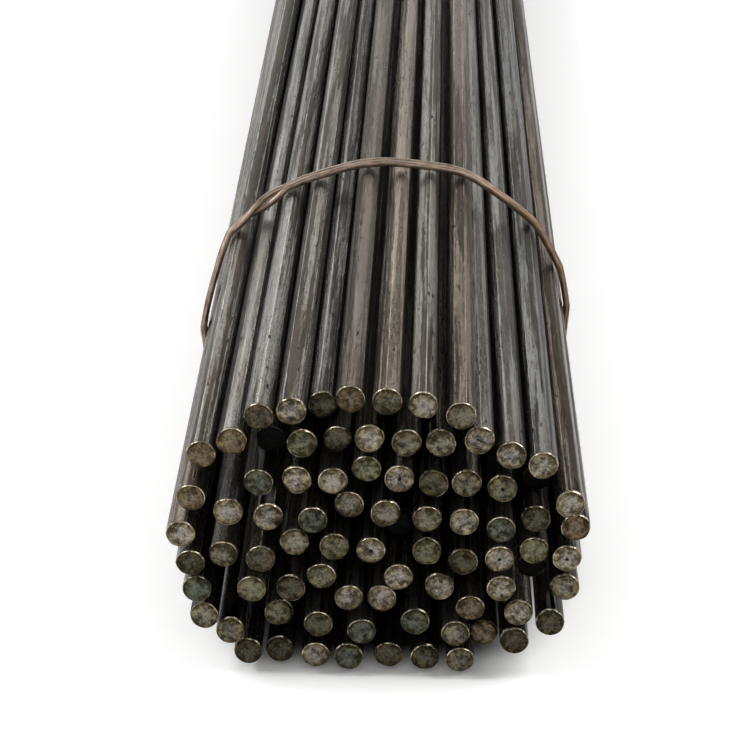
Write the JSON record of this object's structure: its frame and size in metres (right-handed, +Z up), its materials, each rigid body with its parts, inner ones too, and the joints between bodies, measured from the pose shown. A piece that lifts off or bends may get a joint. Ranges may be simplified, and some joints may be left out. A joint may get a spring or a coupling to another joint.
{
  "type": "bundle of plain round reinforcing bars",
  "caption": "Loose round bundle of plain steel reinforcing bars lying level, held by twisted wire ties wound round it near each end.",
  "frame": {"origin": "on the floor under the middle of the bundle", "axes": "+Y along the bars, away from the ends that the picture shows; +X to the right seen from those ends; +Z up"},
  "size_m": [0.0898, 1.0086, 0.0671],
  "materials": {
    "bar_steel": "dull mill scale with lengthwise streaks",
    "tie_wire": "lightly rusted annealed wire"
  },
  "bodies": {
    "root": {"bars_layer_1": "bar_steel", "bars_layer_2": "bar_steel", "bars_layer_3": "bar_steel", "bars_layer_4": "bar_steel", "bars_layer_5": "bar_steel", "bars_layer_6": "bar_steel", "bars_layer_7": "bar_steel", "bars_layer_8": "bar_steel", "bars_layer_9": "bar_steel", "bars_layer_10": "bar_steel", "front_tie": "tie_wire", "rear_tie": "tie_wire"}
  },
  "joints": []
}
